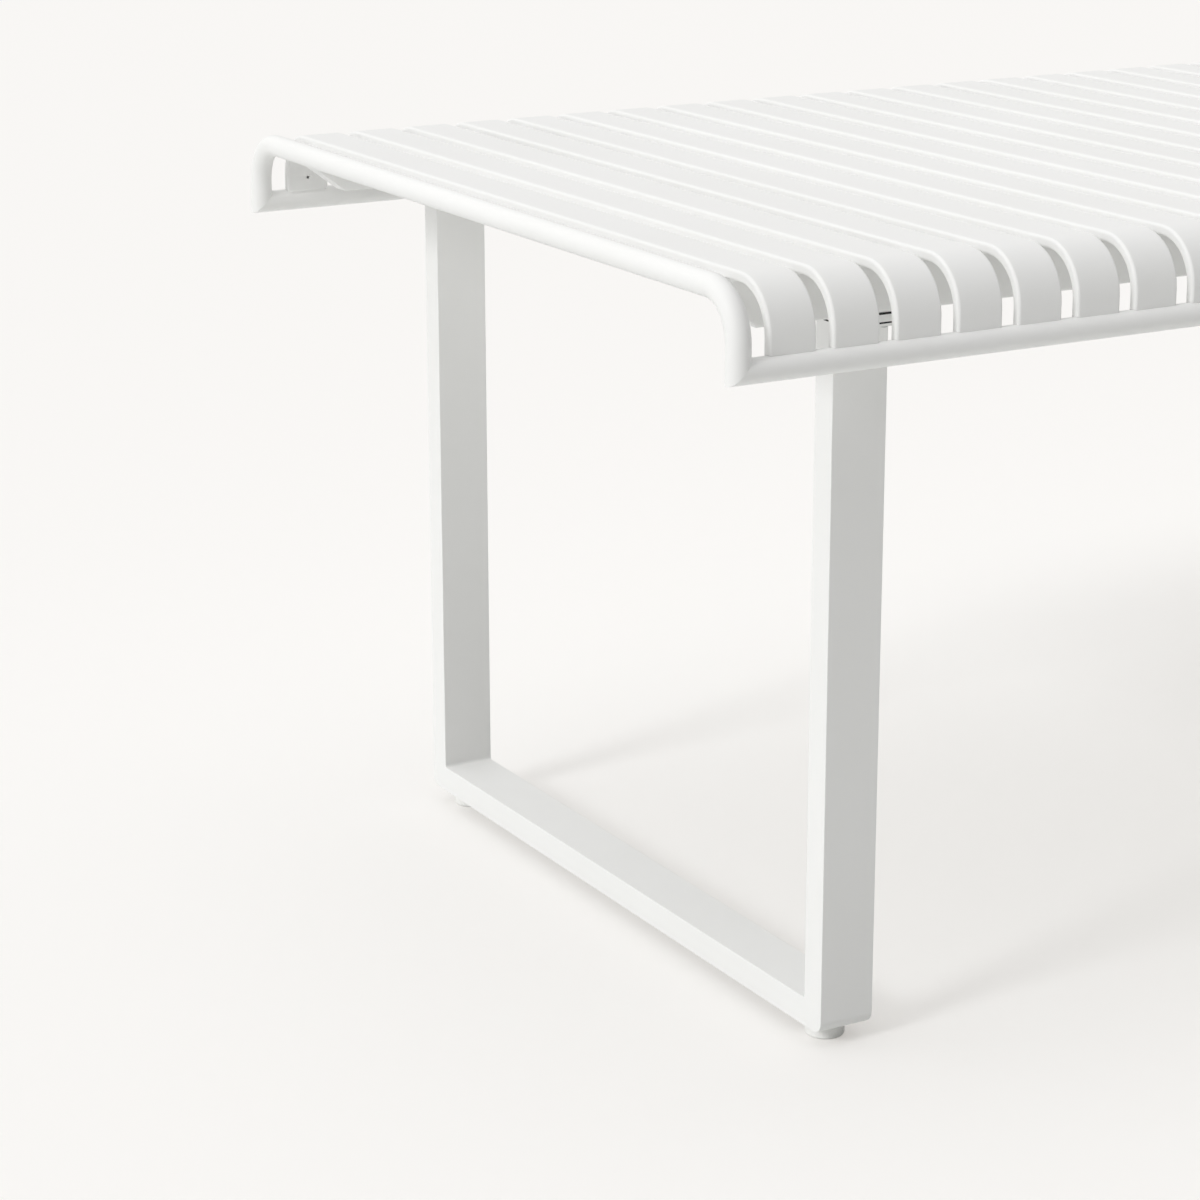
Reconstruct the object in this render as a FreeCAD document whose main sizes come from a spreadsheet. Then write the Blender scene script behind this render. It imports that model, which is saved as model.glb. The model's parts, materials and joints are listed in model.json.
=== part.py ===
import FreeCAD, Part
import math
import os
import Sketcher

# Outdoor table of welded, powder-coated aluminium, in millimetres.
# X runs along the length, Y across the depth, Z up. The origin is the middle of
# the footprint, on the floor.
# Two bent round tubes (the end hoops) and two straight ones (the side rails) make
# the rim. Flat hollow slats bend down over both long edges and stand on the side
# rails. Two beams under the slats carry them and are bolted to two leg frames.

vector = FreeCAD.Vector
doc = FreeCAD.newDocument("OutdoorTable")
sheet = doc.addObject("Spreadsheet::Sheet", "Dimensions")

drivingDimensions = [
    ("tableLength", 2020, "overall, over the end hoops"),
    ("tableDepth", 982, "overall, over the side rails"),
    ("tableHeight", 750, "overall, floor to the top of the end hoops"),
    ("tubeDiameter", 22, "end hoops and side rails"),
    ("tubeWall", 2, "end hoops and side rails"),
    ("bendRadius", 43, "centre line of an end hoop's bends"),
    ("railDrop", 65.5, "top run of a hoop down to the side rails, axis to axis"),
    ("slatWidth", 47, "along the table"),
    ("slatThickness", 9.5, "flat hollow section"),
    ("slatWall", 1.5, "flat hollow section"),
    ("slatEdge", 3, "outside rounding of the section"),
    ("slatBend", 44, "centre line of a slat's rolled edges"),
    ("slatDrop", 2.6, "tops of the slats below the tops of the end hoops"),
    ("slatOutset", 3, "outer face of a slat's foot outside the side rail's axis"),
    ("slatEndGap", 17, "clear between an end hoop and the slat beside it"),
    ("weldGap", 0.1, "between a slat's saddle and the side rail"),
    ("ventDiameter", 3, "hole that vents a closed slat, in its inner wall"),
    ("ventHeight", 23, "vent above the side rail's axis"),
    ("beamWidth", 25, "across the table"),
    ("beamHeight", 45, "beam under the slats"),
    ("beamWall", 2, "beam under the slats"),
    ("beamEdge", 2, "outside rounding along a beam's lower edges"),
    ("beamTip", 11, "height left at a beam's tapered end"),
    ("beamTaper", 46, "length of a beam's tapered end"),
    ("beamEndGap", 0.3, "between a beam's end and the end hoop's side"),
    ("legWidth", 57, "leg tube along the table"),
    ("legDepth", 28, "leg tube in the plane of its frame"),
    ("legWall", 4, "leg tube"),
    ("legEdge", 0.8, "outside rounding of the leg tube"),
    ("legCorner", 12, "outer rounding of a leg frame's lower corners"),
    ("legFillet", 3, "inner rounding of a leg frame's lower corners"),
    ("legInset", 161.5, "table's end to the near face of a leg frame"),
    ("legSpan", 788, "leg frame over its posts, across the table"),
    ("beamOverhang", 22.5, "beam's outer face outside the post's outer face"),
    ("barThickness", 6.5, "flat cross bar between the beams and a leg frame"),
    ("padThickness", 1.5, "rubber pads above and below the cross bar"),
    ("capThickness", 2.5, "plate welded on a post"),
    ("capReach", 24, "plate past the post's inner face"),
    ("plateCorner", 3, "corner rounding of the flat plates"),
    ("screwSize", 6, "thread of the frame screws"),
    ("screwHead", 10.5, "head diameter of the frame screws"),
    ("screwHeadHeight", 3.3, "low round head"),
    ("screwSpacing", 32, "between the two screws of a pair"),
    ("screwClearance", 0.6, "on diameter, in plates that a screw passes"),
    ("threadClearance", 0.1, "on diameter, between a screw and its thread"),
    ("beamScrewLength", 20, "screw into a beam"),
    ("barScrewLength", 12, "screw into a cross bar"),
    ("nutSleeve", 9, "rivet nut outside diameter"),
    ("nutLength", 12, "rivet nut under its flange"),
    ("nutFlange", 12, "rivet nut flange diameter"),
    ("nutFlangeHeight", 1, "rivet nut flange"),
    ("nutSeatClearance", 0.1, "on diameter, round a rivet nut"),
    ("flangeClearance", 1, "on diameter, round a rivet nut's flange in a pad"),
    ("barScrewInset", 12, "inner screws from the post's inner face"),
    ("glideDrop", 16, "leg frame above the floor with the glides screwed in"),
    ("glideDiameter", 37, "foot of a levelling glide"),
    ("glideRim", 11, "height of the foot's upright side"),
    ("glideCone", 14, "height of the foot under its hexagon"),
    ("glideHub", 30, "flat top of the foot"),
    ("glideHex", 14, "hexagon for a spanner, across its flats"),
    ("glideInset", 35.5, "glide's axis from the post's outer face"),
    ("glideRound", 2, "rounding of the foot's edges"),
    ("studSize", 8, "thread of a glide"),
    ("studFloor", 5, "bottom of the stud above the floor"),
    ("studTop", 38, "top of the stud above the floor"),
    ("studChamfer", 1, "lead-in on the stud"),
    ("insertDiameter", 11, "threaded insert in a foot rail"),
    ("insertLength", 12, "threaded insert in a foot rail"),
]

slatCount = 31


class Size:
    """A length that knows its number and the sheet expression that drives it."""

    def __init__(self, text, number):
        self.text = text
        self.number = number

    def combine(self, other, sign, number):
        text = other.text if isinstance(other, Size) else repr(other)
        return Size("(%s %s %s)" % (self.text, sign, text), number)

    def __add__(self, other):
        return self.combine(other, "+", self.number + numberOf(other))

    def __sub__(self, other):
        return self.combine(other, "-", self.number - numberOf(other))

    def __mul__(self, other):
        return self.combine(other, "*", self.number * numberOf(other))

    def __truediv__(self, other):
        return self.combine(other, "/", self.number / numberOf(other))

    def __neg__(self):
        return Size("(0 - %s)" % self.text, -self.number)


def numberOf(size):
    return size.number if isinstance(size, Size) else size


zero = Size("0", 0)
size = {}
for row, (name, number, note) in enumerate(drivingDimensions, start=1):
    sheet.set("A%d" % row, name)
    sheet.set("B%d" % row, str(number))
    sheet.set("C%d" % row, note)
    sheet.setAlias("B%d" % row, name)
    size[name] = Size("Dimensions." + name, number)
doc.recompute()


# Places that several pieces share.
tubeRadius = size["tubeDiameter"] / 2
halfLength = size["tableLength"] / 2
hoopX = halfLength - tubeRadius
rimY = size["tableDepth"] / 2 - tubeRadius
rimZ = size["tableHeight"] - tubeRadius
railZ = rimZ - size["railDrop"]
slatY = rimY + size["slatOutset"] - size["slatThickness"] / 2
slatZ = size["tableHeight"] - size["slatDrop"] - size["slatThickness"] / 2
slatUnder = slatZ - size["slatThickness"] / 2
beamBottom = slatUnder - size["beamHeight"]
barTop = beamBottom - size["padThickness"]
barBottom = barTop - size["barThickness"]
capTop = barBottom - size["padThickness"]
postTop = capTop - size["capThickness"]
footBottom = size["glideDrop"]
postOuterY = size["legSpan"] / 2
postInnerY = postOuterY - size["legDepth"]
plateOuterY = postOuterY + size["beamOverhang"]
capInnerY = postInnerY - size["capReach"]
beamY = plateOuterY - size["beamWidth"] / 2
beamScrewY = beamY
barScrewY = postInnerY - size["barScrewInset"]
glideY = postOuterY - size["glideInset"]
legX = halfLength - size["legInset"] - size["legWidth"] / 2
firstSlatX = size["slatWidth"] / 2 + size["slatEndGap"] + size["tubeDiameter"] - halfLength

subparts = {}


# Helpers

def bind(target, path, length):
    """Drive one property of an object from the sheet."""
    target.setExpression(path, length.text)


def place(target, x=zero, y=zero, z=zero, turn=0, axis=vector(0, 0, 1)):
    """Put an object somewhere, by sheet values."""
    target.Placement = FreeCAD.Placement(
        vector(x.number, y.number, z.number), FreeCAD.Rotation(axis, turn)
    )
    for letter, length in (("x", x), ("y", y), ("z", z)):
        bind(target, "Placement.Base." + letter, length)


def newBody(label):
    body = doc.addObject("PartDesign::Body", label)
    body.Label = label
    return body


def newSketch(body, name, role, across=zero, up=zero, out=zero):
    """A sketch on one of the body's own origin planes, shifted by sheet values."""
    sketch = body.newObject("Sketcher::SketchObject", name)
    plane = [item for item in body.Origin.OriginFeatures if item.Role == role][0]
    sketch.AttachmentSupport = [(plane, "")]
    sketch.MapMode = "FlatFace"
    offset = vector(across.number, up.number, out.number)
    sketch.AttachmentOffset = FreeCAD.Placement(offset, FreeCAD.Rotation())
    for letter, length in (("x", across), ("y", up), ("z", out)):
        bind(sketch, "AttachmentOffset.Base." + letter, length)
    return sketch


def dimension(sketch, name, length, kind, *where):
    """A named sketch dimension driven from the sheet."""
    index = sketch.addConstraint(Sketcher.Constraint(kind, *where, length.number))
    sketch.renameConstraint(index, name)
    bind(sketch, "Constraints." + name, length)


def drawPolygon(sketch, corners):
    """A closed outline; every corner is dimensioned from the sketch's origin."""
    points = [vector(x.number, y.number, 0) for x, y in corners]
    lines = []
    for number, start in enumerate(points):
        end = points[(number + 1) % len(points)]
        lines.append(sketch.addGeometry(Part.LineSegment(start, end), False))
    for number, line in enumerate(lines):
        following = lines[(number + 1) % len(lines)]
        sketch.addConstraint(Sketcher.Constraint("Coincident", line, 2, following, 1))
    for number, (line, (x, y)) in enumerate(zip(lines, corners)):
        dimension(sketch, "x%d" % number, x, "DistanceX", -1, 1, line, 1)
        dimension(sketch, "y%d" % number, y, "DistanceY", -1, 1, line, 1)


def drawCircle(sketch, diameter, centre=(zero, zero), name="diameter"):
    x, y = centre
    middle = vector(x.number, y.number, 0)
    circle = Part.Circle(middle, vector(0, 0, 1), diameter.number / 2)
    index = sketch.addGeometry(circle, False)
    dimension(sketch, name, diameter, "Diameter", index)
    dimension(sketch, name + "X", x, "DistanceX", -1, 1, index, 3)
    dimension(sketch, name + "Y", y, "DistanceY", -1, 1, index, 3)


def drawRoundedRectangle(sketch, width, height, radius):
    """A rectangle with round corners, centred on the sketch's origin."""
    halfWidth = width.number / 2
    halfHeight = height.number / 2
    bend = radius.number
    straightX = halfWidth - bend
    straightY = halfHeight - bend
    lines = []
    for start, end in (
        ((-straightX, -halfHeight), (straightX, -halfHeight)),
        ((halfWidth, -straightY), (halfWidth, straightY)),
        ((straightX, halfHeight), (-straightX, halfHeight)),
        ((-halfWidth, straightY), (-halfWidth, -straightY)),
    ):
        line = Part.LineSegment(vector(*start, 0), vector(*end, 0))
        lines.append(sketch.addGeometry(line, False))
    arcs = []
    for number, (x, y) in enumerate((
        (straightX, -straightY),
        (straightX, straightY),
        (-straightX, straightY),
        (-straightX, -straightY),
    )):
        circle = Part.Circle(vector(x, y, 0), vector(0, 0, 1), bend)
        start = math.radians(90 * number - 90)
        arc = Part.ArcOfCircle(circle, start, start + math.pi / 2)
        arcs.append(sketch.addGeometry(arc, False))
    for number, arc in enumerate(arcs):
        following = lines[(number + 1) % len(lines)]
        sketch.addConstraint(Sketcher.Constraint("Tangent", lines[number], 2, arc, 1))
        sketch.addConstraint(Sketcher.Constraint("Tangent", arc, 2, following, 1))
    for arc in arcs[1:]:
        sketch.addConstraint(Sketcher.Constraint("Equal", arcs[0], arc))
    sketch.addConstraint(Sketcher.Constraint("Horizontal", lines[0]))
    sketch.addConstraint(Sketcher.Constraint("Vertical", lines[1]))
    dimension(sketch, "radius", radius, "Radius", arcs[0])
    dimension(sketch, "left", width / 2, "DistanceX", lines[3], 1, -1, 1)
    dimension(sketch, "right", width / 2, "DistanceX", -1, 1, lines[1], 1)
    dimension(sketch, "low", height / 2, "DistanceY", lines[0], 1, -1, 1)
    dimension(sketch, "high", height / 2, "DistanceY", -1, 1, lines[2], 1)


def drawRolledLine(sketch, halfSpan, foot, top, radius):
    """An upright, a bend, a level run, a bend and an upright, as one open line."""
    bend = radius.number
    side = halfSpan.number
    centreY = top.number - bend
    left = Part.LineSegment(vector(-side, foot.number, 0), vector(-side, centreY, 0))
    level = Part.LineSegment(vector(bend - side, top.number, 0), vector(side - bend, top.number, 0))
    right = Part.LineSegment(vector(side, centreY, 0), vector(side, foot.number, 0))
    leftCircle = Part.Circle(vector(bend - side, centreY, 0), vector(0, 0, 1), bend)
    rightCircle = Part.Circle(vector(side - bend, centreY, 0), vector(0, 0, 1), bend)
    left, level, right = [sketch.addGeometry(line, False) for line in (left, level, right)]
    leftArc = sketch.addGeometry(Part.ArcOfCircle(leftCircle, math.pi / 2, math.pi), False)
    rightArc = sketch.addGeometry(Part.ArcOfCircle(rightCircle, 0, math.pi / 2), False)
    for first, firstEnd, second, secondEnd in (
        (left, 2, leftArc, 2),
        (leftArc, 1, level, 1),
        (level, 2, rightArc, 2),
        (rightArc, 1, right, 1),
    ):
        sketch.addConstraint(Sketcher.Constraint("Tangent", first, firstEnd, second, secondEnd))
    sketch.addConstraint(Sketcher.Constraint("Vertical", left))
    sketch.addConstraint(Sketcher.Constraint("Vertical", right))
    sketch.addConstraint(Sketcher.Constraint("Horizontal", level))
    sketch.addConstraint(Sketcher.Constraint("Equal", leftArc, rightArc))
    dimension(sketch, "radius", radius, "Radius", leftArc)
    dimension(sketch, "leftSide", halfSpan, "DistanceX", left, 1, -1, 1)
    dimension(sketch, "rightSide", halfSpan, "DistanceX", -1, 1, right, 2)
    dimension(sketch, "foot", foot, "DistanceY", -1, 1, left, 1)
    dimension(sketch, "otherFoot", foot, "DistanceY", -1, 1, right, 2)
    dimension(sketch, "top", top, "DistanceY", -1, 1, level, 1)


def pad(body, sketch, length, symmetric=False):
    feature = body.newObject("PartDesign::Pad", "Pad")
    feature.Profile = sketch
    bind(feature, "Length", length)
    feature.Midplane = symmetric
    return feature


def pocket(body, sketch, length):
    """Cut symmetrically about the sketch's plane; the cut must remove something."""
    before = volumeOf(body)
    feature = body.newObject("PartDesign::Pocket", "Pocket")
    feature.Profile = sketch
    bind(feature, "Length", length)
    feature.Midplane = True
    if volumeOf(body) >= before:
        raise ValueError("%s: a pocket cuts nothing" % body.Label)
    return feature


def volumeOf(body):
    doc.recompute()
    return body.Shape.Volume


def pipe(body, kind, profile, spine):
    feature = body.newObject("PartDesign::" + kind, kind)
    feature.Profile = profile
    feature.Spine = (spine, [])
    return feature


def roundEdges(body, base, radius, isWanted):
    """Fillet the edges of a feature that a test picks."""
    doc.recompute()
    edges = base.Shape.Edges
    names = ["Edge%d" % (number + 1) for number, edge in enumerate(edges) if isWanted(edge)]
    feature = body.newObject("PartDesign::Fillet", "Fillet")
    feature.Base = (base, names)
    bind(feature, "Radius", radius)
    return feature


def near(first, second):
    return abs(first - second) < 0.01


def middleOf(edge):
    return edge.valueAt((edge.FirstParameter + edge.LastParameter) / 2)


# The rim: two end hoops and two side rails, mitred at the four low corners

def makeHoop(label, side):
    body = newBody(label)
    spine = newSketch(body, "Spine", "YZ_Plane")
    drawRolledLine(spine, rimY, railZ - tubeRadius, rimZ, size["bendRadius"])
    outer = newSketch(body, "Outer", "XY_Plane", up=-rimY, out=railZ - tubeRadius)
    drawCircle(outer, size["tubeDiameter"])
    inner = newSketch(body, "Inner", "XY_Plane", up=-rimY, out=railZ - tubeRadius)
    drawCircle(inner, size["tubeDiameter"] - size["tubeWall"] * 2)
    doc.recompute()
    pipe(body, "AdditivePipe", outer, spine)
    pipe(body, "SubtractivePipe", inner, spine)
    reach = size["tubeDiameter"]
    mitre = newSketch(body, "Mitre", "XZ_Plane", up=railZ)
    drawPolygon(mitre, [(-reach, -reach), (reach, -reach), (reach, reach)])
    pocket(body, mitre, size["tableDepth"] * 2)
    place(body, x=hoopX * side, turn=0 if side < 0 else 180)
    subparts[label] = body


def makeSideRail(label, side):
    body = newBody(label)
    section = newSketch(body, "Section", "YZ_Plane")
    drawCircle(section, size["tubeDiameter"], name="outer")
    drawCircle(section, size["tubeDiameter"] - size["tubeWall"] * 2, name="inner")
    pad(body, section, size["tableLength"], symmetric=True)
    reach = size["tubeDiameter"]
    for number, end in enumerate((-1, 1)):
        mitre = newSketch(body, "Mitre%d" % number, "XZ_Plane", across=hoopX * end)
        drawPolygon(mitre, [(-reach, reach), (reach * end, -reach), (reach, reach)])
        pocket(body, mitre, size["tubeDiameter"] * 2)
    place(body, y=rimY * side, z=railZ)
    subparts[label] = body


def makeSlat(label, x):
    body = newBody(label)
    spine = newSketch(body, "Spine", "YZ_Plane")
    drawRolledLine(spine, slatY, railZ, slatZ, size["slatBend"])
    outer = newSketch(body, "Outer", "XY_Plane", up=-slatY, out=railZ)
    drawRoundedRectangle(outer, size["slatWidth"], size["slatThickness"], size["slatEdge"])
    inner = newSketch(body, "Inner", "XY_Plane", up=-slatY, out=railZ)
    wall = size["slatWall"]
    drawRoundedRectangle(
        inner,
        size["slatWidth"] - wall * 2,
        size["slatThickness"] - wall * 2,
        size["slatEdge"] - wall,
    )
    doc.recompute()
    pipe(body, "AdditivePipe", outer, spine)
    pipe(body, "SubtractivePipe", inner, spine)
    saddle = newSketch(body, "Saddle", "YZ_Plane", up=railZ)
    seat = size["tubeDiameter"] + size["weldGap"] * 2
    drawCircle(saddle, seat, (-rimY, zero), "front")
    drawCircle(saddle, seat, (rimY, zero), "back")
    pocket(body, saddle, size["slatWidth"] * 2)
    vent = newSketch(body, "Vent", "XZ_Plane", up=railZ + size["ventHeight"])
    drawCircle(vent, size["ventDiameter"])
    pocket(body, vent, rimY * 2)
    place(body, x=x)
    subparts[label] = body


# Beams under the slats, tapered up to the hoops at both ends

def makeBeam(label, side):
    body = newBody(label)
    half = hoopX - tubeRadius - size["beamEndGap"]
    wall = size["beamWall"]
    height = size["beamHeight"]
    tip = size["beamTip"]
    taper = size["beamTaper"]
    profile = newSketch(body, "Profile", "XZ_Plane")
    drawPolygon(profile, [
        (-half, height),
        (-half, height - tip),
        (taper - half, zero),
        (half - taper, zero),
        (half, height - tip),
        (half, height),
    ])
    base = pad(body, profile, size["beamWidth"], symmetric=True)
    sideY = size["beamWidth"].number / 2
    roundEdges(
        body, base, size["beamEdge"],
        lambda edge: near(abs(middleOf(edge).y), sideY) and middleOf(edge).z < (height - tip).number,
    )
    cavity = newSketch(body, "Cavity", "XZ_Plane")
    slope = (height - tip) / taper
    innerHalf = half - wall
    lowHalf = half - taper - wall / 2
    drawPolygon(cavity, [
        (-innerHalf, height - wall),
        (-innerHalf, wall + slope * (innerHalf - lowHalf)),
        (-lowHalf, wall),
        (lowHalf, wall),
        (innerHalf, wall + slope * (innerHalf - lowHalf)),
        (innerHalf, height - wall),
    ])
    pocket(body, cavity, size["beamWidth"] - wall * 2)
    bores = newSketch(body, "NutHoles", "XY_Plane")
    count = 0
    for end in (-1, 1):
        for step in (-1, 1):
            centre = (legX * end + size["screwSpacing"] / 2 * step, zero)
            hole = size["nutSleeve"] + size["nutSeatClearance"]
            drawCircle(bores, hole, centre, "hole%d" % count)
            count += 1
    pocket(body, bores, wall * 2 + size["nutFlangeHeight"])
    place(body, y=beamY * side, z=beamBottom)
    subparts[label] = body


# Leg frames: a U of rectangular tube, mitred at the two low corners

def makeLegMember(label, end, removed):
    body = newBody(label)
    width = size["legWidth"]
    wall = size["legWall"]
    footTop = footBottom + size["legDepth"]
    outline = newSketch(body, "Outline", "YZ_Plane")
    drawPolygon(outline, [
        (-postOuterY, footBottom),
        (postOuterY, footBottom),
        (postOuterY, postTop),
        (postInnerY, postTop),
        (postInnerY, footTop),
        (-postInnerY, footTop),
        (-postInnerY, postTop),
        (-postOuterY, postTop),
    ])
    base = pad(body, outline, width, symmetric=True)

    def isCorner(edge, y, z):
        middle = middleOf(edge)
        return near(middle.x, 0) and near(abs(middle.y), y.number) and near(middle.z, z.number)

    base = roundEdges(body, base, size["legCorner"], lambda edge: isCorner(edge, postOuterY, footBottom))
    base = roundEdges(body, base, size["legFillet"], lambda edge: isCorner(edge, postInnerY, footTop))
    side = width.number / 2
    base = roundEdges(
        body, base, size["legEdge"],
        lambda edge: near(abs(middleOf(edge).x), side) and not near(middleOf(edge).z, postTop.number),
    )
    cavity = newSketch(body, "Cavity", "YZ_Plane")
    above = postTop + wall
    drawPolygon(cavity, [
        (wall - postOuterY, footBottom + wall),
        (postOuterY - wall, footBottom + wall),
        (postOuterY - wall, above),
        (postInnerY + wall, above),
        (postInnerY + wall, footTop - wall),
        (-postInnerY - wall, footTop - wall),
        (-postInnerY - wall, above),
        (wall - postOuterY, above),
    ])
    pocket(body, cavity, width - wall * 2)
    for number, corners in enumerate(removed):
        rest = newSketch(body, "Rest%d" % number, "YZ_Plane")
        drawPolygon(rest, corners)
        pocket(body, rest, width * 2)
    if label.startswith("foot_rail"):
        seats = newSketch(body, "InsertHoles", "XY_Plane", out=footBottom)
        hole = size["insertDiameter"] + size["nutSeatClearance"]
        drawCircle(seats, hole, (zero, -glideY), "front")
        drawCircle(seats, hole, (zero, glideY), "back")
        pocket(body, seats, wall * 3)
    place(body, x=legX * end)
    subparts[label] = body


def makeLegFrame(name, end):
    reach = size["legDepth"]
    low = footBottom - reach
    mitreTop = footBottom + reach * 2
    outside = postOuterY + reach
    inside = postInnerY - reach
    aboveTop = postTop + reach
    for where, side in (("front", -1), ("back", 1)):
        # everything across the mitre from this post, and the other post
        makeLegMember("post_%s_%s" % (where, name), end, [[
            (outside * side, low),
            (-outside * side, low),
            (-outside * side, aboveTop),
            (inside * side, aboveTop),
            (inside * side, mitreTop),
        ]])
    makeLegMember("foot_rail_" + name, end, [
        [
            (-outside, low),
            (-inside, mitreTop),
            (-inside, aboveTop),
            (-outside, aboveTop),
        ],
        [
            (outside, low),
            (inside, mitreTop),
            (inside, aboveTop),
            (outside, aboveTop),
        ],
    ])


# Plates, pads and screws where the beams meet the leg frames

def makePlate(label, width, depth, thickness, holes):
    """A flat plate centred on its own origin, its underside at Z = 0."""
    body = newBody(label)
    outline = newSketch(body, "Outline", "XY_Plane")
    drawRoundedRectangle(outline, width, depth, size["plateCorner"])
    pad(body, outline, thickness)
    cut = newSketch(body, "Holes", "XY_Plane")
    for number, (x, y, diameter) in enumerate(holes):
        drawCircle(cut, diameter, (x, y), "hole%d" % number)
    pocket(body, cut, thickness * 3)
    return body


def pair(y, diameter):
    """Two holes side by side along X."""
    step = size["screwSpacing"] / 2
    return [(-step, y, diameter), (step, y, diameter)]


passHole = size["screwSize"] + size["screwClearance"]
nutHole = size["nutSleeve"] + size["nutSeatClearance"]
flangeHole = size["nutFlange"] + size["flangeClearance"]
corners = [(endX, sideY) for endX in (-1, 1) for sideY in (-1, 1)]


def makeCrossBar(label, end):
    holes = []
    for side in (-1, 1):
        holes += pair(beamScrewY * side, passHole)
        holes += pair(barScrewY * side, nutHole)
    body = makePlate(label, size["legWidth"], plateOuterY * 2, size["barThickness"], holes)
    place(body, x=legX * end, z=barBottom)
    subparts[label] = body


def makeGroup(label, makeOne, places):
    """Identical pieces that share one node, each a solid of its own."""
    members = [makeOne("%s_%d" % (label, number), *spot) for number, spot in enumerate(places)]
    group = doc.addObject("Part::Compound", label)
    group.Label = label
    group.Links = members
    subparts[label] = group


capDepth = plateOuterY - capInnerY
capMiddleY = (plateOuterY + capInnerY) / 2


def makeCapPlate(label, end, side):
    holes = pair((beamScrewY - capMiddleY) * side, passHole)
    holes += pair((barScrewY - capMiddleY) * side, passHole)
    body = makePlate(label, size["legWidth"], capDepth, size["capThickness"], holes)
    place(body, x=legX * end, y=capMiddleY * side, z=postTop)
    return body


def makeCapPad(label, end, side):
    holes = pair((beamScrewY - capMiddleY) * side, passHole)
    holes += pair((barScrewY - capMiddleY) * side, flangeHole)
    body = makePlate(label, size["legWidth"], capDepth, size["padThickness"], holes)
    place(body, x=legX * end, y=capMiddleY * side, z=capTop)
    return body


def makeBeamPad(label, end, side):
    holes = pair(zero, flangeHole)
    body = makePlate(label, size["legWidth"], size["beamWidth"], size["padThickness"], holes)
    place(body, x=legX * end, y=beamY * side, z=barTop)
    return body


def cylinder(label, diameter, height, z=zero):
    piece = doc.addObject("Part::Cylinder", label)
    bind(piece, "Radius", diameter / 2)
    bind(piece, "Height", height)
    place(piece, z=z)
    return piece


def makeScrew(label, length, x, y, z):
    """A low round head under the plate, and a plain shank up from it."""
    head = cylinder(label + "_head", size["screwHead"], size["screwHeadHeight"], -size["screwHeadHeight"])
    shank = cylinder(label + "_shank", size["screwSize"], length)
    screw = doc.addObject("Part::Fuse", label)
    screw.Base = head
    screw.Tool = shank
    place(screw, x=x, y=y, z=z)
    return screw


def makeRivetNut(label, x, y, z):
    """A sleeve that stands in a wall on a thin flange under it."""
    flangeHeight = size["nutFlangeHeight"]
    flange = cylinder(label + "_flange", size["nutFlange"], flangeHeight, -flangeHeight)
    sleeve = cylinder(label + "_sleeve", size["nutSleeve"], size["nutLength"])
    outside = doc.addObject("Part::Fuse", label + "_outside")
    outside.Base = flange
    outside.Tool = sleeve
    thread = cylinder(
        label + "_thread",
        size["screwSize"] + size["threadClearance"],
        size["nutLength"] + flangeHeight * 2,
        -flangeHeight,
    )
    nut = doc.addObject("Part::Cut", label)
    nut.Base = outside
    nut.Tool = thread
    place(nut, x=x, y=y, z=z)
    return nut


def screwPlaces(y):
    step = size["screwSpacing"] / 2
    return [
        (legX * endX + step * stepX, y * sideY)
        for endX, sideY in corners
        for stepX in (-1, 1)
    ]


def makeInsert(label, end, side):
    """A threaded sleeve let into the foot rail's lower wall."""
    outside = cylinder(label + "_outside", size["insertDiameter"], size["insertLength"])
    thread = cylinder(
        label + "_thread",
        size["studSize"] + size["threadClearance"],
        size["insertLength"],
    )
    insert = doc.addObject("Part::Cut", label)
    insert.Base = outside
    insert.Tool = thread
    place(insert, x=legX * end, y=glideY * side, z=footBottom)
    return insert


# Levelling glides: a plastic foot on a threaded stud

def makeGlideFoot(label, end, side):
    body = newBody(label)
    radius = size["glideDiameter"] / 2
    cone = size["glideCone"]
    profile = newSketch(body, "Profile", "XZ_Plane")
    drawPolygon(profile, [
        (zero, zero),
        (radius, zero),
        (radius, size["glideRim"]),
        (size["glideHub"] / 2, cone),
        (zero, cone),
    ])
    turn = body.newObject("PartDesign::Revolution", "Revolution")
    turn.Profile = profile
    turn.ReferenceAxis = (profile, ["V_Axis"])
    turn.Angle = 360
    roundEdges(
        body, turn, size["glideRound"],
        lambda edge: near(edge.BoundBox.XMax, radius.number),
    )
    hexagon = newSketch(body, "Hexagon", "XY_Plane", out=cone)
    flat = size["glideHex"] / 2
    point = size["glideHex"] / math.sqrt(3)
    drawPolygon(hexagon, [
        (point, zero),
        (point / 2, flat),
        (-point / 2, flat),
        (-point, zero),
        (-point / 2, -flat),
        (point / 2, -flat),
    ])
    pad(body, hexagon, size["glideDrop"] - cone)
    bore = newSketch(body, "Bore", "XY_Plane", out=size["glideDrop"])
    drawCircle(bore, size["studSize"] + size["threadClearance"])
    pocket(body, bore, (size["glideDrop"] - size["studFloor"]) * 2)
    place(body, x=legX * end, y=glideY * side)
    subparts[label] = body


def makeGlideStud(label, end, side):
    body = newBody(label)
    section = newSketch(body, "Section", "XY_Plane", out=size["studFloor"])
    drawCircle(section, size["studSize"])
    shank = pad(body, section, size["studTop"] - size["studFloor"])
    doc.recompute()
    leadIn = body.newObject("PartDesign::Chamfer", "Chamfer")
    tops = [
        "Edge%d" % (number + 1)
        for number, edge in enumerate(shank.Shape.Edges)
        if near(edge.BoundBox.ZMin, size["studTop"].number)
    ]
    leadIn.Base = (shank, tops)
    bind(leadIn, "Size", size["studChamfer"])
    place(body, x=legX * end, y=glideY * side)
    subparts[label] = body


ends = (("left", -1), ("right", 1))
sides = (("front", -1), ("back", 1))

for endName, end in ends:
    makeHoop("end_hoop_" + endName, end)
for sideName, side in sides:
    makeSideRail("side_rail_" + sideName, side)
    makeBeam("beam_" + sideName, side)

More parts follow.
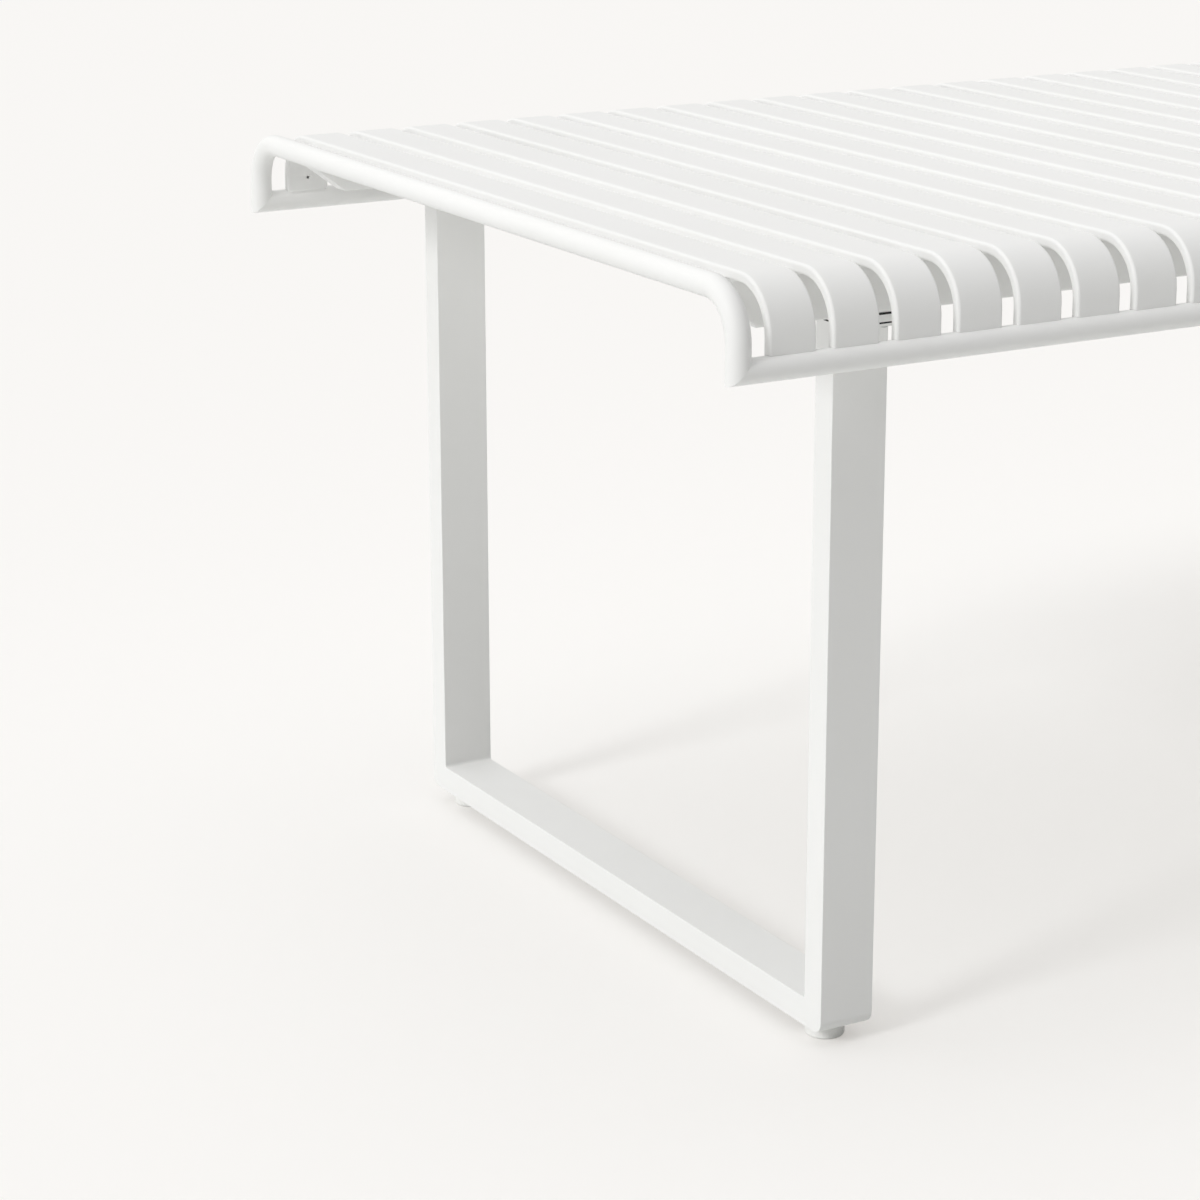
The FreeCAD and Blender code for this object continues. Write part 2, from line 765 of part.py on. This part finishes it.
slatPitch = -firstSlatX * 2 / (slatCount - 1)
for number in range(slatCount):
    makeSlat("slat_%02d" % (number + 1), firstSlatX + slatPitch * number)

for endName, end in ends:
    makeLegFrame(endName, end)
    makeCrossBar("cross_bar_" + endName, end)
    for sideName, side in sides:
        makeGlideFoot("glide_foot_%s_%s" % (sideName, endName), end, side)
        makeGlideStud("glide_stud_%s_%s" % (sideName, endName), end, side)

makeGroup("post_cap_plates", makeCapPlate, corners)
makeGroup("cap_pads", makeCapPad, corners)
makeGroup("beam_pads", makeBeamPad, corners)
makeGroup("glide_inserts", makeInsert, corners)
makeGroup("beam_screws", makeScrew, [
    (size["beamScrewLength"], x, y, postTop) for x, y in screwPlaces(beamScrewY)
])
makeGroup("bar_screws", makeScrew, [
    (size["barScrewLength"], x, y, postTop) for x, y in screwPlaces(barScrewY)
])
makeGroup("rivet_nuts", makeRivetNut, (
    [(x, y, beamBottom) for x, y in screwPlaces(beamScrewY)]
    + [(x, y, barBottom) for x, y in screwPlaces(barScrewY)]
))

doc.recompute()

# Nothing is written unless every object is sound.
for item in doc.Objects:
    if "Invalid" in item.State or "Error" in item.State:
        raise ValueError("%s failed: %s" % (item.Label, item.State))
for label, item in subparts.items():
    if item.Shape.isNull() or not item.Shape.isValid():
        raise ValueError("%s has no valid shape" % label)

os.makedirs("parts", exist_ok=True)
for label, item in subparts.items():
    item.Shape.exportStep("parts/%s.step" % label)
    print("%-26s %2d solid(s) %10.0f mm3" % (label, len(item.Shape.Solids), item.Shape.Volume))
print("%d sub-parts" % len(subparts))
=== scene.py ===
import json
import math

import bpy
from mathutils import Matrix, Vector


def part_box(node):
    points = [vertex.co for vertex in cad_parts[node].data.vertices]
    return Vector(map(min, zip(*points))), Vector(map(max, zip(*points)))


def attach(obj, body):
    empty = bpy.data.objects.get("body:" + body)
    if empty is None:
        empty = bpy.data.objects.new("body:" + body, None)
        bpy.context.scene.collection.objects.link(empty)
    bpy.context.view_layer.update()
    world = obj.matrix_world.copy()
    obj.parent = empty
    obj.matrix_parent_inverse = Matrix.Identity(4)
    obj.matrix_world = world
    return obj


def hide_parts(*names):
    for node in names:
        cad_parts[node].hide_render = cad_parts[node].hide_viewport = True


# White outdoor table: powder-coated slats rolled over round side rails, round end
# hoops, two leg frames bolted under two beams, levelling glides. Metres throughout.

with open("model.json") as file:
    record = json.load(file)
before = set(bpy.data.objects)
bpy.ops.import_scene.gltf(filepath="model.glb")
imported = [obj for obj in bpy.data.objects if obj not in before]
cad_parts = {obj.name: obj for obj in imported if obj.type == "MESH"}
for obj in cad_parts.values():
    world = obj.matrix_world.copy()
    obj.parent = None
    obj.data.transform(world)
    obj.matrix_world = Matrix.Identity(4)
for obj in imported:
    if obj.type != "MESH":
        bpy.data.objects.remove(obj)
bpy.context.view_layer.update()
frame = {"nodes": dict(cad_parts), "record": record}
mm = 0.001
print("frame loaded:", len(frame["nodes"]), "nodes")


# Colours and nodes

def linearColour(hexText):
    channels = [int(hexText[at:at + 2], 16) / 255 for at in (1, 3, 5)]
    linear = [c / 12.92 if c <= 0.04045 else ((c + 0.055) / 1.055) ** 2.4 for c in channels]
    return (*linear, 1)


def addNode(tree, kind, settings=None, **inputs):
    # an input is named with _ for a space, or i and its number
    node = tree.nodes.new(kind)
    for name, value in (settings or {}).items():
        setattr(node, name, value)
    for name, value in inputs.items():
        socket = node.inputs[int(name[1:])] if name[1:].isdigit() else node.inputs[name.replace("_", " ")]
        if isinstance(value, bpy.types.NodeSocket):
            tree.links.new(value, socket)
        else:
            socket.default_value = value
    return node


def newMaterial(name):
    material = bpy.data.materials.new(name)
    material.use_nodes = True
    tree = material.node_tree
    tree.nodes.clear()
    return material, tree, tree.nodes.new("ShaderNodeOutputMaterial")


# Powder-coated aluminium: polyester powder sprayed and baked. The eye sees a soft
# satin white with a faint orange peel and no grain.
powderCoat = {
    "name": "powderCoatedAluminium",
    "colour": "#f3f3f2",
    "otherColour": "#efefed",      # where the powder lies thinner
    "patterns": {                  # size and detail
        "cloud": (180 * mm, 3.0),
        "peel": (3.0 * mm, 1.0),   # real peel is about 0.8 mm; drawn coarser to show
        "dust": (1.4 * mm, 2.0),   # powder grains, drawn coarser than the real 0.05 mm
    },
    "colourBy": "cloud",
    "roughBy": "dust",
    "roughSpan": (0.3, 0.7),       # part of the pattern that the roughness runs over
    "rough": (0.52, 0.64),
    "bumpBy": "peel",
    "bumpDepth": 0.03 * mm,
    "bumpStrength": 0.35,
    "shader": {},                  # the default IOR, 1.5, is right for it
}

# EPDM rubber sheet, calendered and cut: dull near-black with a fine dusty grain.
sheetRubber = {
    "name": "epdmSheetRubber",
    "colour": "#1c1c1d",
    "otherColour": "#29292a",      # dust
    "patterns": {
        "grain": (1.2 * mm, 3.0),  # real grain is about 0.2 mm; drawn coarser to show
    },
    "colourBy": "grain",
    "roughBy": "grain",
    "roughSpan": (0.0, 1.0),
    "rough": (0.75, 0.92),
    "bumpBy": "grain",
    "bumpDepth": 0.08 * mm,
    "bumpStrength": 0.5,
    "shader": {"IOR": 1.52},
}

# Stainless steel, turned and thread-rolled: grey metal with soft, slightly
# streaked reflections.
turnedSteel = {
    "name": "turnedStainlessSteel",
    "colour": "#b4b4b6",
    "otherColour": "#a3a3a6",      # in the marks
    "stretch": (1, 1, 6),          # marks run round a Z axis
    "patterns": {
        "streak": (5 * mm, 4.0),   # turning marks are about 0.1 mm apart; drawn coarser
    },
    "colourBy": "streak",
    "roughBy": "streak",
    "roughSpan": (0.0, 1.0),
    "rough": (0.26, 0.4),
    "bumpBy": "streak",
    "bumpDepth": 0.02 * mm,
    "bumpStrength": 0.3,
    "shader": {"Metallic": 1.0},
}

# Polyamide, injection moulded in a spark-eroded tool: white, slightly waxy, with
# a fine matt texture.
mouldedPlastic = {
    "name": "mouldedPolyamide",
    "colour": "#f8f8f6",
    "otherColour": "#f4f4f1",      # flow marks
    "patterns": {
        "flow": (12 * mm, 2.0),
        "spark": (0.9 * mm, 2.0),  # real texture is about 0.1 mm; drawn coarser to show
    },
    "colourBy": "flow",
    "roughBy": "spark",
    "roughSpan": (0.0, 1.0),
    "rough": (0.4, 0.55),
    "bumpBy": "spark",
    "bumpDepth": 0.04 * mm,
    "bumpStrength": 0.4,
    "shader": {"IOR": 1.53},
}


def makeFinish(own):
    material, tree, output = newMaterial(own["name"])
    place = addNode(tree, "ShaderNodeTexCoord").outputs["Object"]
    if "stretch" in own:
        place = addNode(tree, "ShaderNodeMapping", Vector=place, Scale=own["stretch"]).outputs[0]
    patterns = {}
    for name, (size, detail) in own["patterns"].items():
        noise = addNode(tree, "ShaderNodeTexNoise", Vector=place, Scale=1 / size, Detail=detail)
        patterns[name] = noise.outputs[0]
    colour = addNode(tree, "ShaderNodeMix", {"data_type": "RGBA"}, i0=patterns[own["colourBy"]],
                     i6=linearColour(own["colour"]), i7=linearColour(own["otherColour"]))
    spanLow, spanHigh = own["roughSpan"]
    roughLow, roughHigh = own["rough"]
    rough = addNode(tree, "ShaderNodeMapRange", Value=patterns[own["roughBy"]], From_Min=spanLow,
                    From_Max=spanHigh, To_Min=roughLow, To_Max=roughHigh)
    bump = addNode(tree, "ShaderNodeBump", Strength=own["bumpStrength"], Distance=own["bumpDepth"],
                   Height=patterns[own["bumpBy"]])
    shader = addNode(tree, "ShaderNodeBsdfPrincipled", Base_Color=colour.outputs[2],
                     Roughness=rough.outputs[0], Normal=bump.outputs[0], **own["shader"])
    tree.links.new(shader.outputs[0], output.inputs[0])
    return material


finishes = {
    "powder_coat": makeFinish(powderCoat),
    "black_rubber": makeFinish(sheetRubber),
    "bare_steel": makeFinish(turnedSteel),
    "white_plastic": makeFinish(mouldedPlastic),
}
for part in frame["record"]["subparts"]:
    mesh = frame["nodes"][part["node"]].data
    mesh.materials.clear()
    mesh.materials.append(finishes[part["material_slot"]])
print("finishes made:", len(finishes))


# Meshes built ring by ring

def hexagonReach(angle, flats):
    # from the middle of a hexagon to its edge
    sixth = math.pi / 3
    return flats / 2 / math.cos(angle % sixth - sixth / 2)


def closedTube(count, width):
    # faces over count rings of width points each, with both ends closed
    faces = []
    for ring in range(count - 1):
        for step in range(width):
            after = (step + 1) % width
            low, high = ring * width, (ring + 1) * width
            faces.append((low + step, low + after, high + after, high + step))
    faces.append(tuple(range(width - 1, -1, -1)))
    faces.append(tuple(range((count - 1) * width, count * width)))
    return faces


def turnedShape(rings, steps, centre):
    # rings are (radius, height); a radius may be a function of the angle
    points = []
    for radius, height in rings:
        for step in range(steps):
            angle = 2 * math.pi * step / steps
            r = radius(angle) if callable(radius) else radius
            points.append(centre + Vector((r * math.cos(angle), r * math.sin(angle), height)))
    return points, closedTube(len(rings), steps)


# Rolled threads: the ridge climbs one pitch a turn and fades at both ends
thread = {
    "ringsPerTurn": 6,
    "startShare": 0.15,        # of the ridge's height, at the lower end
    "crestCut": 1.25,          # how far the ridge would pass the crest, which cuts it flat
}


def threadRings(crest, root, pitch, bottom, top):
    own = thread
    rings = []
    count = math.ceil((top - bottom) / pitch * own["ringsPerTurn"])
    for number in range(count + 1):
        height = bottom + (top - bottom) * number / count
        fade = min(1, (top - height) / pitch, (height - bottom) / pitch + own["startShare"])

        def radius(angle, height=height, fade=fade):
            phase = (height / pitch - angle / (2 * math.pi)) % 1
            ridge = 1 - abs(2 * phase - 1)
            return root + (crest - root) * min(1, ridge * own["crestCut"]) * max(0, fade)

        rings.append((radius, height))
    return rings


sharpAngle = math.radians(32)     # edges sharper than this stay sharp


def buildPiece(name, shapes, slot, body, replaced=()):
    points, faces = [], []
    for shapePoints, shapeFaces in shapes:
        start = len(points)
        points += shapePoints
        faces += [tuple(start + corner for corner in face) for face in shapeFaces]
    mesh = bpy.data.meshes.new(name)
    mesh.from_pydata(points, [], faces)
    mesh.shade_smooth()
    mesh.set_sharp_from_angle(angle=sharpAngle)
    mesh.materials.append(finishes[slot])
    piece = bpy.data.objects.new(name, mesh)
    bpy.context.scene.collection.objects.link(piece)
    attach(piece, body)
    if replaced:
        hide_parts(*replaced)


def middleOf(node):
    low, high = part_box(node)
    return (low + high) / 2


sides = {"front": -1, "back": 1}
corners = [(side, end) for end in ("left", "right") for side in sides]


# Frame screws: low round heads with a hexagon socket, M6, from under the cap plates
frameScrew = {
    "head": 10.5 * mm,
    "headHeight": 3.3 * mm,
    "headProfile": [           # shares of its radius and height, from the socket out
        (0.56, 1), (0.72, 0.93), (0.86, 0.74), (0.95, 0.48), (0.995, 0.2), (1, 0.1), (0.99, 0),
    ],
    "socket": 4 * mm,          # across its flats
    "socketDepth": 2.1 * mm,
    "socketFloor": 0.8,        # share of its width left at the floor
    "floorCorner": 0.1 * mm,
    "tipRadius": 0.4 * mm,     # drill tip under the socket's floor
    "tipDepth": 0.35 * mm,
    "chamferWidth": 0.25 * mm,
    "chamferDepth": 0.2 * mm,
    "crest": 2.98 * mm,
    "root": 2.45 * mm,
    "pitch": 1.0 * mm,
    "threadGap": 0.2 * mm,     # plain shank under the head
    "steps": 48,
    "spacing": 32 * mm,
    "barScrewInset": 12 * mm,  # from the post's inner face
    "postDepth": 28 * mm,
}


def screwShape(centre, length):
    own = frameScrew
    wide = own["head"] / 2
    tall = own["headHeight"]

    def socket(angle):
        return hexagonReach(angle, own["socket"])

    floor = -tall + own["socketDepth"]
    rings = [
        (own["tipRadius"], floor + own["tipDepth"]),
        (lambda angle: socket(angle) * own["socketFloor"], floor),
        (socket, floor - own["floorCorner"]),
        (socket, -tall + own["chamferDepth"]),
        (lambda angle: socket(angle) + own["chamferWidth"], -tall),
    ]
    rings += [(across * wide, -tall * up) for across, up in own["headProfile"]]
    rings.append((own["crest"], 0))
    rings += threadRings(own["crest"], own["root"], own["pitch"], own["threadGap"], length)
    return turnedShape(rings, own["steps"], centre)


def innerFace(side, end):
    # Y of the post's face towards the middle of the table
    low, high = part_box("post_%s_%s" % (side, end))
    return sides[side] * (max(abs(low.y), abs(high.y)) - frameScrew["postDepth"])


def makeFrameScrews():
    own = frameScrew
    for node in ("beam_screws", "bar_screws"):
        low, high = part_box(node)
        top = low.z + own["headHeight"]
        shapes = []
        for side, end in corners:
            post = middleOf("post_%s_%s" % (side, end))
            if node == "beam_screws":
                y = middleOf("beam_" + side).y
            else:
                y = innerFace(side, end) - sides[side] * own["barScrewInset"]
            for step in (-1, 1):
                centre = Vector((post.x + step * own["spacing"] / 2, y, top))
                shapes.append(screwShape(centre, high.z - top))
        buildPiece("frameScrews_" + node.split("_")[0], shapes, "bare_steel", "table", [node])


makeFrameScrews()
print("frame screws made")


# Levelling glides: a moulded puck with a fluted grip and a spanner hexagon, on an M8
# stud. An edge is a list of (inwards, up) in mm from the corner that it rounds.
glide = {
    "radius": 18.5 * mm,
    "recessMiddle": 2 * mm,
    "recessDepth": 0.8 * mm,   # shallow, in the underside
    "lowerEdge": [(6, 0.8), (5.4, 0), (3.0, 0), (1.7, 0.3), (0.7, 0.9), (0.2, 1.8), (0, 2.6)],
    "flutes": 36,
    "fluteDepth": 0.3 * mm,
    "fluteBottom": 3.0 * mm,
    "fluteTop": 2.4 * mm,      # below the rim
    "rim": 11 * mm,            # height of the upright side
    "rimEdge": [(0, -1.6), (0.12, -0.9), (0.5, -0.2), (1.1, 0.5)],
    "cone": 14 * mm,           # height of the flat top
    "flat": 15 * mm,           # its radius
    "flatEdge": [(-0.9, -0.75), (-0.3, -0.25), (0.5, 0)],
    "hexagon": 14 * mm,
    "hexagonFillet": (0.5 * mm, 0.3 * mm),   # out and up, on the flat top
    "hexagonTop": 0.95,        # share of its width left at the top
    "height": 16 * mm,
    "bore": 4.05 * mm,
    "boreBottom": 5 * mm,
    "chamfer": 0.5 * mm,
    "steps": 144,
    "crest": 3.98 * mm,
    "root": 3.35 * mm,
    "pitch": 1.25 * mm,
    "studSteps": 32,
}


def footShape(centre):
    own = glide
    wide, high, rim, cone = own["radius"], own["height"], own["rim"], own["cone"]
    filletOut, filletUp = own["hexagonFillet"]

    def fluted(angle):
        return wide - own["fluteDepth"] * (0.5 - 0.5 * math.cos(own["flutes"] * angle))

    def hexagon(angle):
        return hexagonReach(angle, own["hexagon"])

    rings = [(own["recessMiddle"], own["recessDepth"])]
    rings += [(wide - inwards * mm, up * mm) for inwards, up in own["lowerEdge"]]
    rings += [(fluted, own["fluteBottom"]), (fluted, rim - own["fluteTop"])]
    rings += [(wide - inwards * mm, rim + up * mm) for inwards, up in own["rimEdge"]]
    rings += [(own["flat"] - inwards * mm, cone + up * mm) for inwards, up in own["flatEdge"]]
    rings += [
        (lambda angle: hexagon(angle) + filletOut, cone),
        (hexagon, cone + filletUp),
        (hexagon, high - own["chamfer"]),
        (lambda angle: hexagon(angle) * own["hexagonTop"], high),
        (own["bore"] + own["chamfer"], high),
        (own["bore"], high - own["chamfer"]),
        (own["bore"], own["boreBottom"]),
    ]
    return turnedShape(rings, own["steps"], centre)


def makeGlides():
    own = glide
    for side, end in corners:
        where = "%s_%s" % (side, end)
        foot, stud = "glide_foot_" + where, "glide_stud_" + where
        centre = middleOf(foot)
        centre.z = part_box(foot)[0].z
        buildPiece("glideFoot_" + where, [footShape(centre)], "white_plastic", "foot_" + where, [foot])
        low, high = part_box(stud)
        rings = threadRings(own["crest"], own["root"], own["pitch"], low.z, high.z)
        shape = turnedShape(rings, own["studSteps"], Vector((centre.x, centre.y, 0)))
        buildPiece("glideStud_" + where, [shape], "bare_steel", "stud_" + where, [stud])


makeGlides()
print("glides made")


# Weld beads under the powder coat, on the sides that face inwards and down
weldBead = {
    "reach": 3.0 * mm,         # leg length of the fillet under the top
    "footReach": 1.3 * mm,     # finer run at the slats' feet
    "footSlope": -0.45,        # the round rail falls away below a slat's foot
    "ripple": 2.4 * mm,        # spacing of the set-back ripples
    "rippleDepth": 0.22 * mm,
    "ringsPerRipple": 3,
    "fewestRings": 4,
    "profileSteps": 6,
    "hollow": 0.2,             # share cut back at the middle of its face
    "endShare": 0.35,          # of its size, at its very ends
    "rootDepth": 0.3 * mm,
    "plateMargin": 5 * mm,     # from a post's edges to a bead's ends
    "slatThickness": 9.5 * mm,
    "slatEdge": 3 * mm,
    "railRadius": 11 * mm,
}


def beadShape(start, end, across, up, size):
    # a rippled fillet from start to end, lying in the corner that opens towards across and up
    own = weldBead
    along = end - start
    count = max(own["fewestRings"], round(along.length / own["ripple"] * own["ringsPerRipple"]))
    profile = own["profileSteps"]
    points = []
    for ring in range(count + 1):
        share = ring / count
        wave = math.cos(2 * math.pi * share * along.length / own["ripple"]) * own["rippleDepth"]
        taper = min(1, own["endShare"] + min(share, 1 - share) * along.length / size)
        reach = (size + wave * size / own["reach"]) * taper
        base = start + along * share
        points.append(base - (across + up) * own["rootDepth"])
        for step in range(profile):
            angle = math.pi / 2 * step / (profile - 1)
            cut = 1 - own["hollow"] + own["hollow"] * abs(math.cos(2 * angle))
            points.append(base + (across * math.cos(angle) + up * math.sin(angle)) * reach * cut)
    return points, closedTube(count + 1, profile + 1)


def makeWelds():
    own = weldBead
    slats = [part["node"] for part in frame["record"]["subparts"] if part["node"].startswith("slat_")]
    footWelds, beamWelds, capWelds = [], [], []
    upwards, downwards = Vector((0, 0, 1)), Vector((0, 0, -1))
    for slat in slats:
        low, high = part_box(slat)
        left, right = low.x + own["slatEdge"], high.x - own["slatEdge"]
        underside = high.z - own["slatThickness"]
        for side, sign in sides.items():
            # slat's inner face onto the round rail
            inner = (high.y - own["slatThickness"]) * sign
            rail = middleOf("side_rail_" + side)
            inward = abs(rail.y) - abs(inner)
            seat = rail.z + math.sqrt(own["railRadius"] ** 2 - inward ** 2)
            start, end = Vector((left, inner, seat)), Vector((right, inner, seat))
            across = Vector((0, -sign, own["footSlope"]))
            footWelds.append(beadShape(start, end, across, upwards, own["footReach"]))
            beamLow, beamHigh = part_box("beam_" + side)
            for edge, outward in ((beamLow.y, -1), (beamHigh.y, 1)):
                start, end = Vector((left, edge, underside)), Vector((right, edge, underside))
                across = Vector((0, outward, 0))
                beamWelds.append(beadShape(start, end, across, downwards, own["reach"]))
    for side, tableEnd in corners:
        low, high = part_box("post_%s_%s" % (side, tableEnd))
        left, right = low.x + own["plateMargin"], high.x - own["plateMargin"]
        inner = innerFace(side, tableEnd)
        start, end = Vector((left, inner, high.z)), Vector((right, inner, high.z))
        across = Vector((0, -sides[side], 0))
        capWelds.append(beadShape(start, end, across, downwards, own["reach"]))
    buildPiece("slatFootWelds", footWelds, "powder_coat", "table")
    buildPiece("beamWelds", beamWelds, "powder_coat", "table")
    buildPiece("capPlateWelds", capWelds, "powder_coat", "table")


makeWelds()
print("welds made")


def aimed(heading, fall):
    # a direction, from degrees round from +X and degrees below level
    heading, fall = math.radians(heading), math.radians(fall)
    return Vector((math.cos(heading) * math.cos(fall), math.sin(heading) * math.cos(fall), -math.sin(fall)))


camera = {
    "place": (-2.3753, -2.6835, 1.2539),
    "sensorWidth": 36,         # mm, as the lens
    "lens": 97.3,
    "pitch": 16.610,
    "yaw": 60.509,
    "roll": -0.096,
    "clipStart": 0.01,
    "clipEnd": 200,
}


def makeCamera():
    own = camera
    data = bpy.data.cameras.new("camera")
    view = bpy.data.objects.new("camera", data)
    bpy.context.scene.collection.objects.link(view)
    data.sensor_width = own["sensorWidth"]
    data.lens = own["lens"]
    data.clip_start = own["clipStart"]
    data.clip_end = own["clipEnd"]
    turn = aimed(own["yaw"], own["pitch"]).to_track_quat("-Z", "Y").to_matrix().to_4x4()
    roll = Matrix.Rotation(math.radians(own["roll"]), 4, "Z")
    view.matrix_world = Matrix.Translation(own["place"]) @ turn @ roll
    bpy.context.scene.camera = view


makeCamera()


# White studio floor that runs on into the background, with faint soft shadows
studioFloor = {
    "reach": 60,
    "bounceColour": "#f0f0ee",  # what the floor throws back onto the table
    "shadeColour": "#c6c6c6",   # how much of the shadows shows
    "whiteColour": "#a9a6a2",   # the white under the shadows
}


def makeFloor():
    own = studioFloor
    reach = own["reach"]
    mesh = bpy.data.meshes.new("studioFloor")
    outline = [(-reach, -reach, 0), (reach, -reach, 0), (reach, reach, 0), (-reach, reach, 0)]
    mesh.from_pydata(outline, [], [(0, 1, 2, 3)])
    floor = bpy.data.objects.new("studioFloor", mesh)
    bpy.context.scene.collection.objects.link(floor)
    material, tree, output = newMaterial("paintedStudioFloor")
    ray = addNode(tree, "ShaderNodeLightPath")
    bounce = addNode(tree, "ShaderNodeBsdfDiffuse", Color=linearColour(own["bounceColour"]))
    shade = addNode(tree, "ShaderNodeBsdfDiffuse", Color=linearColour(own["shadeColour"]))
    white = addNode(tree, "ShaderNodeEmission", Color=linearColour(own["whiteColour"]), Strength=1.0)
    seen = addNode(tree, "ShaderNodeAddShader", i0=shade.outputs[0], i1=white.outputs[0])
    mix = addNode(tree, "ShaderNodeMixShader", i0=ray.outputs["Is Camera Ray"],
                  i1=bounce.outputs[0], i2=seen.outputs[0])
    tree.links.new(mix.outputs[0], output.inputs[0])
    mesh.materials.append(material)


studioLight = {
    "background": "#faf8f6",
    "zenith": 1.67,             # bright overhead, darker towards the horizon
    "horizon": 0.0,
    "heightPower": 2.0,         # how slowly it brightens above the horizon
    "sideGlow": 0.65,           # low soft light from the left
    "glowEdge": -0.3,
    "frontShade": 0.8,          # how much darker it is towards the front
    "keyStrength": 1.1,
    "keyAngle": 14,             # width of the key, which sets how soft shadows are
    "keyAzimuth": 12,
    "keyElevation": 30,
}


def makeSky():
    own = studioLight
    world = bpy.data.worlds.new("studio")
    bpy.context.scene.world = world
    world.use_nodes = True
    tree = world.node_tree
    tree.nodes.clear()
    output = tree.nodes.new("ShaderNodeOutputWorld")
    ray = addNode(tree, "ShaderNodeLightPath")
    place = addNode(tree, "ShaderNodeTexCoord")
    split = addNode(tree, "ShaderNodeSeparateXYZ", Vector=place.outputs["Generated"])
    height = addNode(tree, "ShaderNodeMath", {"operation": "MAXIMUM"}, i0=split.outputs[2], i1=0.0)
    squared = addNode(tree, "ShaderNodeMath", {"operation": "POWER"}, i0=height.outputs[0],
                      i1=own["heightPower"])
    strength = addNode(tree, "ShaderNodeMapRange", Value=squared.outputs[0],
                       To_Min=own["horizon"], To_Max=own["zenith"])
    glow = addNode(tree, "ShaderNodeMapRange", Value=split.outputs[0], From_Min=-1.0,
                   From_Max=own["glowEdge"], To_Min=own["sideGlow"], To_Max=0.0)
    strength = addNode(tree, "ShaderNodeMath", {"operation": "ADD"}, i0=strength.outputs[0],
                       i1=glow.outputs[0])
    front = addNode(tree, "ShaderNodeMapRange", Value=split.outputs[1], From_Min=-1.0, From_Max=0.0,
                    To_Min=1 - own["frontShade"], To_Max=1.0)
    strength = addNode(tree, "ShaderNodeMath", {"operation": "MULTIPLY"}, i0=strength.outputs[0],
                       i1=front.outputs[0])
    sky = addNode(tree, "ShaderNodeBackground", Color=(1, 1, 1, 1), Strength=strength.outputs[0])
    wall = addNode(tree, "ShaderNodeBackground", Color=linearColour(own["background"]), Strength=1.0)
    shown = addNode(tree, "ShaderNodeMath", {"operation": "MAXIMUM"}, i0=ray.outputs["Is Camera Ray"],
                    i1=ray.outputs["Is Glossy Ray"])
    shown = addNode(tree, "ShaderNodeMath", {"operation": "MAXIMUM"}, i0=shown.outputs[0],
                    i1=ray.outputs["Is Transmission Ray"])
    mix = addNode(tree, "ShaderNodeMixShader", i0=shown.outputs[0], i1=sky.outputs[0], i2=wall.outputs[0])
    tree.links.new(mix.outputs[0], output.inputs[0])


def makeKey():
    own = studioLight
    data = bpy.data.lights.new("key", "SUN")
    data.energy = own["keyStrength"]
    data.angle = math.radians(own["keyAngle"])
    key = bpy.data.objects.new("key", data)
    bpy.context.scene.collection.objects.link(key)
    key.rotation_euler = aimed(own["keyAzimuth"], own["keyElevation"]).to_track_quat("-Z", "Y").to_euler()


makeFloor()
makeSky()
makeKey()
bpy.context.scene.view_settings.view_transform = "Standard"
print("floor, light and camera made")
